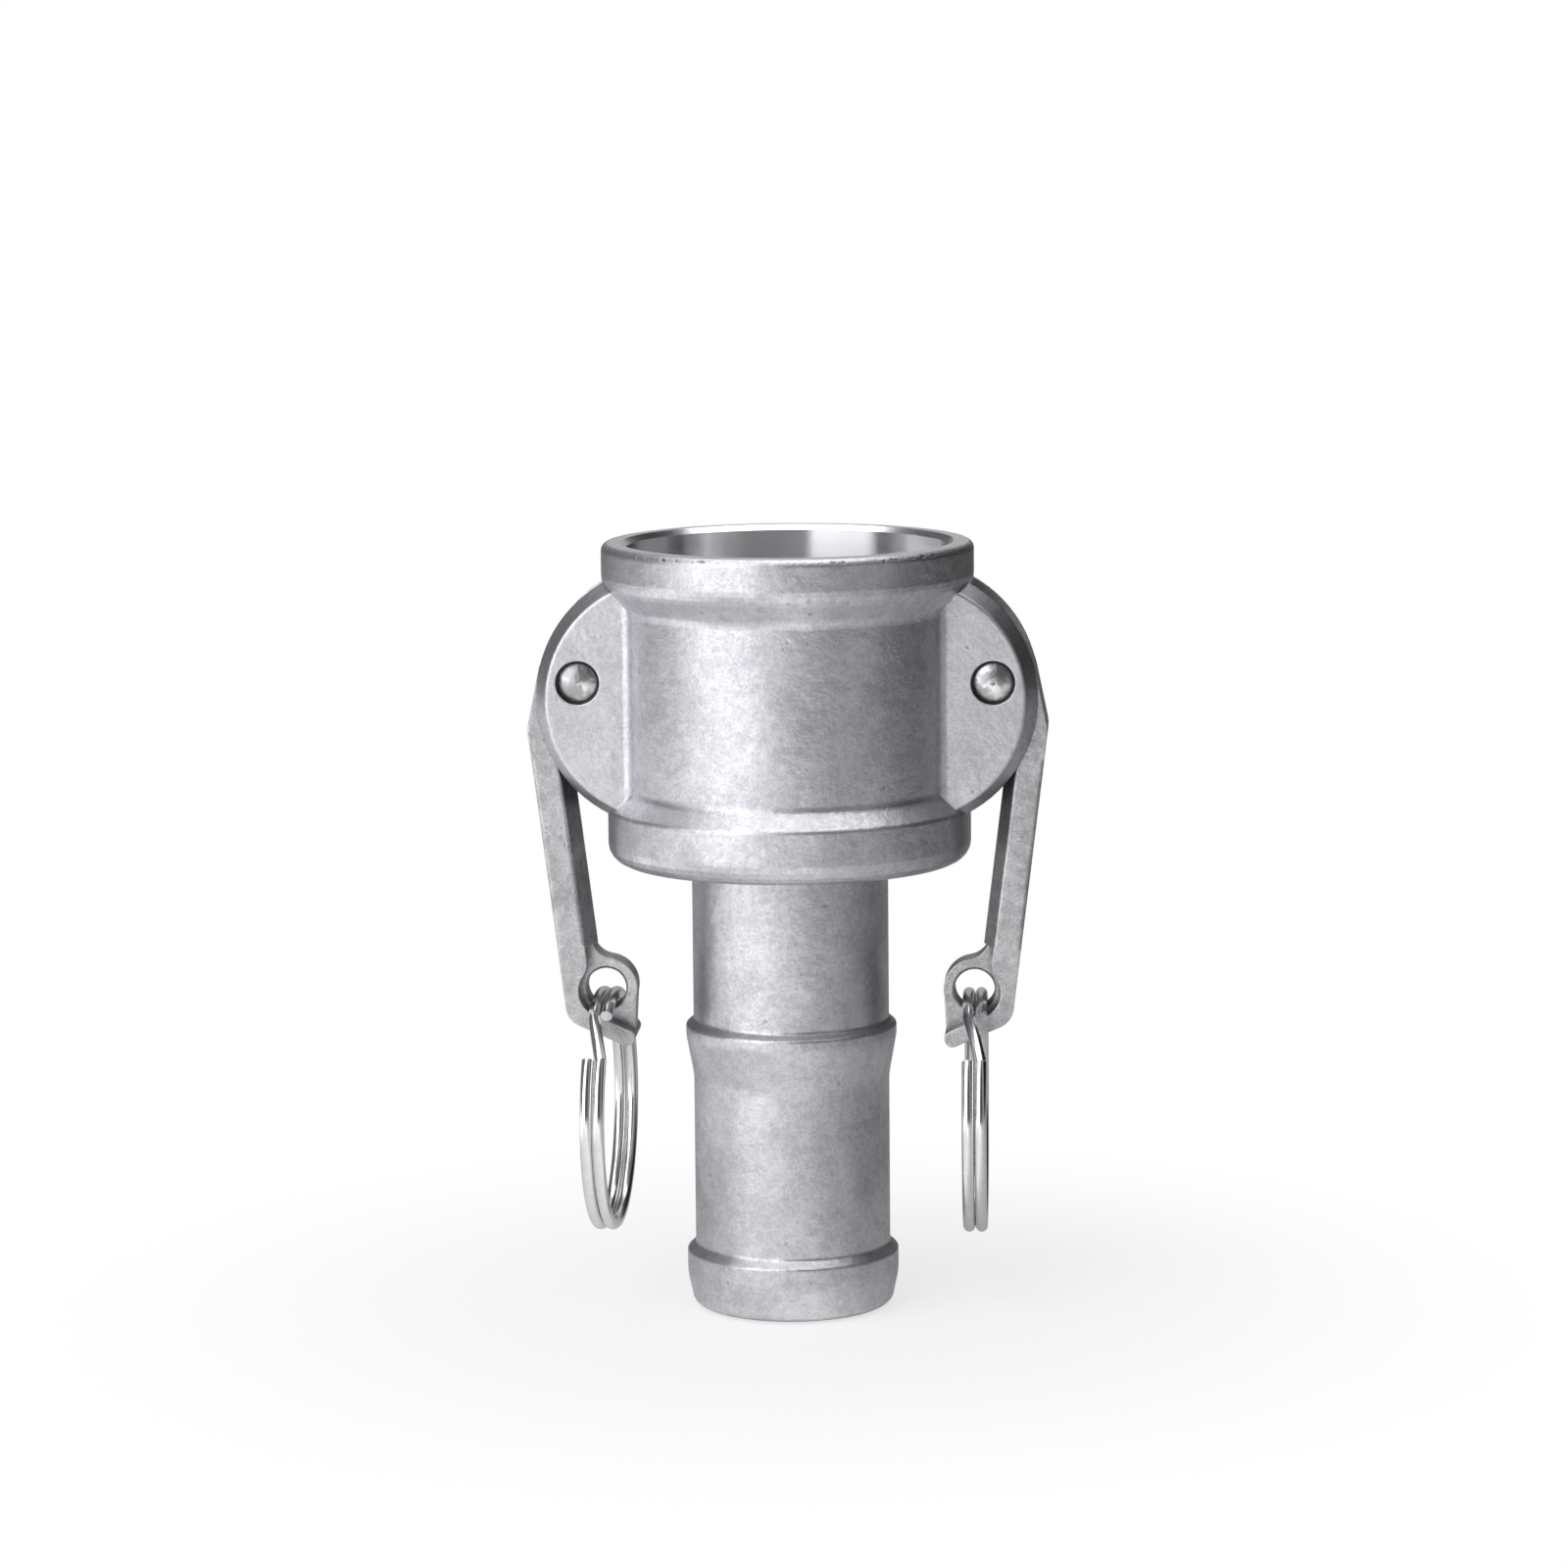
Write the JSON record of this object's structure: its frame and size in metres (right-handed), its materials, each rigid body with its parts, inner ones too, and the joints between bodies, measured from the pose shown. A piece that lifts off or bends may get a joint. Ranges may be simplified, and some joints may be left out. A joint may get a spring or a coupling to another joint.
{
  "type": "cam and groove coupling",
  "caption": "Cast female cam and groove coupler on a barbed hose shank, with a gasket, hinged cam arms and split pull rings.",
  "frame": {"origin": "centre of the hose shank's end face, which the part stands on", "axes": "+Z along the coupling's axis towards the mouth, X across the two cam arms, pins along Y"},
  "size_m": [0.0684, 0.049, 0.1022],
  "materials": {
    "cast_stainless": "blasted casting",
    "arm_stainless": "blasted casting",
    "pin_steel": "ground",
    "ring_wire": "polished",
    "gasket_rubber": "matt"
  },
  "bodies": {
    "coupler": {"coupler_body": "cast_stainless", "gasket": "gasket_rubber", "left_pivot_pin": "pin_steel", "right_pivot_pin": "pin_steel"},
    "left_arm": {"left_cam_arm": "arm_stainless"},
    "right_arm": {"right_cam_arm": "arm_stainless"},
    "left_ring": {"left_pull_ring": "ring_wire"},
    "right_ring": {"right_pull_ring": "ring_wire"}
  },
  "joints": [
    {"name": "left_arm_hinge", "type": "hinge", "parent": "coupler", "child": "left_arm", "pos_m": [-0.02715, 0, 0.08435], "axis": [0, 1, 0], "range_deg": [-3, 110]},
    {"name": "right_arm_hinge", "type": "hinge", "parent": "coupler", "child": "right_arm", "pos_m": [0.02715, 0, 0.08435], "axis": [0, -1, 0], "range_deg": [-3, 110]},
    {"name": "left_ring_hinge", "type": "hinge", "parent": "left_arm", "child": "left_ring", "pos_m": [-0.02446, 0, 0.04277], "axis": [0, 1, 0], "range_deg": [-6, 150]},
    {"name": "right_ring_hinge", "type": "hinge", "parent": "right_arm", "child": "right_ring", "pos_m": [0.02446, 0, 0.04277], "axis": [0, -1, 0], "range_deg": [-6, 150]}
  ]
}
